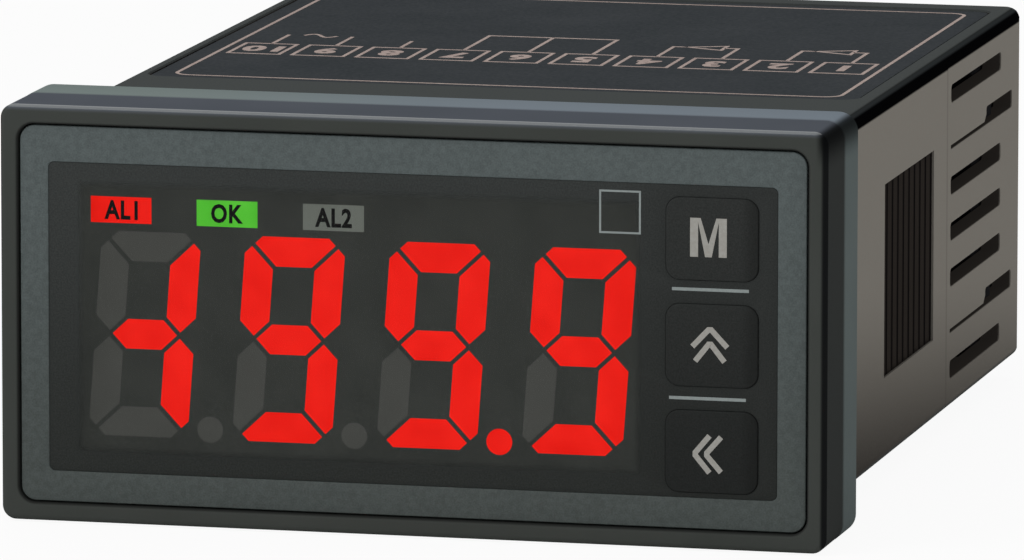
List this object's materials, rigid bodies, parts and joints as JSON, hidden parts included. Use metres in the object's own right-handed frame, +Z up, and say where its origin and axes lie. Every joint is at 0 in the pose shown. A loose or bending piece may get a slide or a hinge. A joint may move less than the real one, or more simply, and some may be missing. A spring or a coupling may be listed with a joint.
{
  "type": "digital panel meter",
  "caption": "Digital panel meter with a rectangular front, smoked window over seven-segment digits and lamps, push keys at the right, and a vented sleeve case with rear screw terminals.",
  "frame": {"origin": "centre of the bezel's rear face, where it seats on the front of the panel", "axes": "+Y back into the panel along the insertion direction, +X to the right seen from the front, +Z up"},
  "size_m": [0.048, 0.063, 0.024],
  "materials": {
    "bezel": "glossy blue-grey moulding",
    "face_plate": "fine mottled grey",
    "window": "smoked, satin",
    "key": "satin dark grey",
    "plunger": "natural",
    "switch_case": "black",
    "display_housing": "matt black",
    "lit_red": "lit from behind",
    "lit_green": "lit from behind",
    "unlit": "unlit light guide",
    "lamp_off": "unlit lamp",
    "board": "glass-fibre board with green resist",
    "case": "satin warm grey moulding",
    "label": "printed film",
    "black_plastic": "moulded black",
    "contact": "plated",
    "chip": "moulded package",
    "coupler": "white package",
    "core": "laminated core",
    "winding": "taped winding",
    "capacitor": "sleeved can",
    "screw": "plated"
  },
  "bodies": {
    "meter": {"bezel": "bezel", "face_plate": "face_plate", "display_window": "window", "mode_switch": "switch_case", "up_switch": "switch_case", "shift_switch": "switch_case", "display_housing": "display_housing", "lit_point": "lit_red", "dark_points": "unlit", "alarm_1_lamp": "lit_red", "ok_lamp": "lit_green", "alarm_2_lamp": "lamp_off", "display_board": "board", "case": "case", "top_label": "label", "main_board": "board", "board_header": "black_plastic", "header_contacts": "contact", "controller_chip": "chip", "converter_chip": "chip", "signal_couplers": "coupler", "transformer_core": "core", "transformer_winding": "winding", "filter_capacitor": "capacitor", "terminal_block": "black_plastic", "terminal_tabs": "contact", "terminal_washers": "screw", "terminal_screws": "screw", "digit_1_lit_bars": "lit_red", "digit_1_dark_bars": "unlit", "digit_2_lit_bars": "lit_red", "digit_2_dark_bars": "unlit", "digit_3_lit_bars": "lit_red", "digit_3_dark_bars": "unlit", "digit_4_lit_bars": "lit_red", "digit_4_dark_bars": "unlit"},
    "mode_button": {"mode_key": "key", "mode_plunger": "plunger"},
    "up_button": {"up_key": "key", "up_plunger": "plunger"},
    "shift_button": {"shift_key": "key", "shift_plunger": "plunger"}
  },
  "joints": [
    {"name": "mode_press", "type": "slide", "parent": "meter", "child": "mode_button", "axis": [0, 1, 0], "range_m": [0, 0.0003], "stiffness_N_per_m": 4000, "springref_m": -0.00005},
    {"name": "up_press", "type": "slide", "parent": "meter", "child": "up_button", "axis": [0, 1, 0], "range_m": [0, 0.0003], "stiffness_N_per_m": 4000, "springref_m": -0.00005},
    {"name": "shift_press", "type": "slide", "parent": "meter", "child": "shift_button", "axis": [0, 1, 0], "range_m": [0, 0.0003], "stiffness_N_per_m": 4000, "springref_m": -0.00005}
  ]
}
